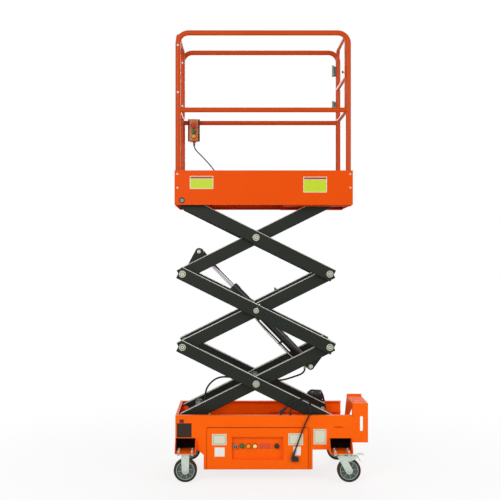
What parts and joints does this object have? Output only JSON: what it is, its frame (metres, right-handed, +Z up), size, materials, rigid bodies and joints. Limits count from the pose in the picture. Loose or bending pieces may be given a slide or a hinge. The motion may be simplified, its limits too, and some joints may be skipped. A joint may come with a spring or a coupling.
{
  "type": "scissor lift",
  "caption": "Push-around electric scissor lift: sheet steel base on casters, crossed arms raised by a hydraulic cylinder, railed platform with end gate.",
  "frame": {"origin": "on the floor under the middle of the machine's outline", "axes": "+Z up, +X towards the boarding step and gate, +Y from the control side to the far side"},
  "size_m": [1.273, 0.74, 2.961],
  "materials": {
    "orange_base": "orange powder coat",
    "orange_platform": "orange powder coat",
    "arm_grey": "dark grey paint",
    "pin_steel": "zinc plated steel",
    "cylinder_black": "black paint",
    "chrome_rod": "hard chrome",
    "black_plastic": "moulded",
    "hose_rubber": "black rubber",
    "zinc": "zinc plated",
    "hub_grey": "grey-green paint",
    "tread": "dark polyurethane",
    "pendant_yellow": "moulded yellow",
    "pendant_buttons": "moulded",
    "bracket_brown": "red-brown paint",
    "power_unit": "battery and pump block"
  },
  "bodies": {
    "chassis": {"base_frame": "orange_base", "caster_pockets": "orange_base", "pivot_brackets": "orange_base", "front_cover": "orange_base", "rear_cover": "orange_base", "panel_controls": "black_plastic", "charger_inlet": "black_plastic", "power_unit": "power_unit", "boarding_step": "orange_base", "limit_switch": "cylinder_black", "fixed_forks": "zinc", "swivel_plates": "zinc", "power_cord": "hose_rubber", "plug_lead": "hose_rubber", "cord_grommets": "black_plastic", "power_plug": "hose_rubber"},
    "arm_1_inner": {"inner_arms_1": "arm_grey", "inner_pins_1": "pin_steel", "hose_union": "zinc", "hydraulic_hose": "hose_rubber"},
    "arm_1_outer": {"outer_arms_1": "arm_grey", "outer_pins_1": "pin_steel"},
    "arm_2_inner": {"inner_arms_2": "arm_grey", "inner_pins_2": "pin_steel"},
    "arm_2_outer": {"outer_arms_2": "arm_grey", "outer_pins_2": "pin_steel"},
    "arm_3_inner": {"inner_arms_3": "arm_grey", "inner_pins_3": "pin_steel"},
    "arm_3_outer": {"outer_arms_3": "arm_grey"},
    "cylinder": {"cylinder_barrel": "cylinder_black", "cylinder_pipe": "cylinder_black"},
    "cylinder_rod": {"cylinder_rod": "chrome_rod", "head_pin": "pin_steel"},
    "platform": {"platform_tub": "orange_platform", "front_rail": "orange_platform", "rear_rail": "orange_platform", "end_rail": "orange_platform", "gate_hinges": "zinc", "pendant_bracket": "bracket_brown", "pendant_case": "pendant_yellow", "pendant_buttons": "pendant_buttons", "pendant_cable": "hose_rubber", "cable_grommet": "black_plastic"},
    "gate": {"gate_frame": "orange_platform", "gate_leaves": "zinc"},
    "wheel_fixed_front": {"wheel_hub_fixed_front": "hub_grey", "tyre_fixed_front": "tread"},
    "wheel_fixed_rear": {"wheel_hub_fixed_rear": "hub_grey", "tyre_fixed_rear": "tread"},
    "swivel_front": {"swivel_fork_front": "zinc"},
    "wheel_swivel_front": {"wheel_hub_swivel_front": "hub_grey", "tyre_swivel_front": "tread"},
    "swivel_rear": {"swivel_fork_rear": "zinc"},
    "wheel_swivel_rear": {"wheel_hub_swivel_rear": "hub_grey", "tyre_swivel_rear": "tread"}
  },
  "joints": [
    {"name": "scissor_lift", "type": "hinge", "parent": "chassis", "child": "arm_1_inner", "pos_m": [-0.5845, 0, 0.386], "axis": [0, -1, 0], "range_deg": [-19.4, 24.9]},
    {"name": "arm_1_outer_fold", "type": "hinge", "parent": "arm_1_inner", "child": "arm_1_outer", "pos_m": [-0.09634, 0, 0.62833], "axis": [0, -1, 0], "range_deg": [-50.8, 39.8]},
    {"name": "arm_2_inner_fold", "type": "hinge", "parent": "arm_1_outer", "child": "arm_2_inner", "pos_m": [-0.5845, 0, 0.87065], "axis": [0, -1, 0], "range_deg": [-39.8, 50.8]},
    {"name": "arm_2_outer_fold", "type": "hinge", "parent": "arm_2_inner", "child": "arm_2_outer", "pos_m": [-0.09634, 0, 1.11298], "axis": [0, -1, 0], "range_deg": [-50.8, 39.8]},
    {"name": "arm_3_inner_fold", "type": "hinge", "parent": "arm_2_outer", "child": "arm_3_inner", "pos_m": [-0.5845, 0, 1.3553], "axis": [0, -1, 0], "range_deg": [-39.8, 50.8]},
    {"name": "arm_3_outer_fold", "type": "hinge", "parent": "arm_3_inner", "child": "arm_3_outer", "pos_m": [-0.09634, 0, 1.59763], "axis": [0, -1, 0], "range_deg": [-50.8, 39.8]},
    {"name": "platform_level", "type": "hinge", "parent": "arm_3_outer", "child": "platform", "pos_m": [-0.5845, 0, 1.83996], "axis": [0, -1, 0], "range_deg": [-20.4, 25.9]},
    {"name": "cylinder_tilt", "type": "hinge", "parent": "arm_1_inner", "child": "cylinder", "pos_m": [0.27203, 0, 0.73415], "axis": [0, -1, 0], "range_deg": [-50.8, 39.8]},
    {"name": "cylinder_stroke", "type": "slide", "parent": "cylinder", "child": "cylinder_rod", "axis": [-0.6973, 0, 0.7168], "range_m": [-0.2233, 0.2861]},
    {"name": "gate_swing", "type": "hinge", "parent": "platform", "child": "gate", "pos_m": [0.468, 0.236, 2.69], "axis": [0, 0, -1], "range_deg": [0, 90]},
    {"name": "wheel_fixed_front_roll", "type": "hinge", "parent": "chassis", "child": "wheel_fixed_front", "pos_m": [-0.5605, -0.315, 0.076], "axis": [0, 1, 0], "continuous": true},
    {"name": "wheel_fixed_rear_roll", "type": "hinge", "parent": "chassis", "child": "wheel_fixed_rear", "pos_m": [-0.5605, 0.315, 0.076], "axis": [0, 1, 0], "continuous": true},
    {"name": "swivel_front_turn", "type": "hinge", "parent": "chassis", "child": "swivel_front", "pos_m": [0.461, -0.315, 0.18], "axis": [0, 0, 1], "continuous": true},
    {"name": "wheel_swivel_front_roll", "type": "hinge", "parent": "swivel_front", "child": "wheel_swivel_front", "pos_m": [0.508, -0.315, 0.076], "axis": [0, 1, 0], "continuous": true},
    {"name": "swivel_rear_turn", "type": "hinge", "parent": "chassis", "child": "swivel_rear", "pos_m": [0.461, 0.315, 0.18], "axis": [0, 0, 1], "continuous": true},
    {"name": "wheel_swivel_rear_roll", "type": "hinge", "parent": "swivel_rear", "child": "wheel_swivel_rear", "pos_m": [0.508, 0.315, 0.076], "axis": [0, 1, 0], "continuous": true}
  ],
  "couplings": [
    {"joint": "arm_1_outer_fold", "follows": "scissor_lift", "ratio": -2},
    {"joint": "arm_2_inner_fold", "follows": "scissor_lift", "ratio": 2},
    {"joint": "arm_2_outer_fold", "follows": "scissor_lift", "ratio": -2},
    {"joint": "arm_3_inner_fold", "follows": "scissor_lift", "ratio": 2},
    {"joint": "arm_3_outer_fold", "follows": "scissor_lift", "ratio": -2},
    {"joint": "platform_level", "follows": "scissor_lift", "ratio": 1},
    {"joint": "cylinder_tilt", "follows": "scissor_lift", "ratio": -2},
    {"joint": "cylinder_stroke", "follows": "scissor_lift", "m_per_rad": 0.6537}
  ]
}
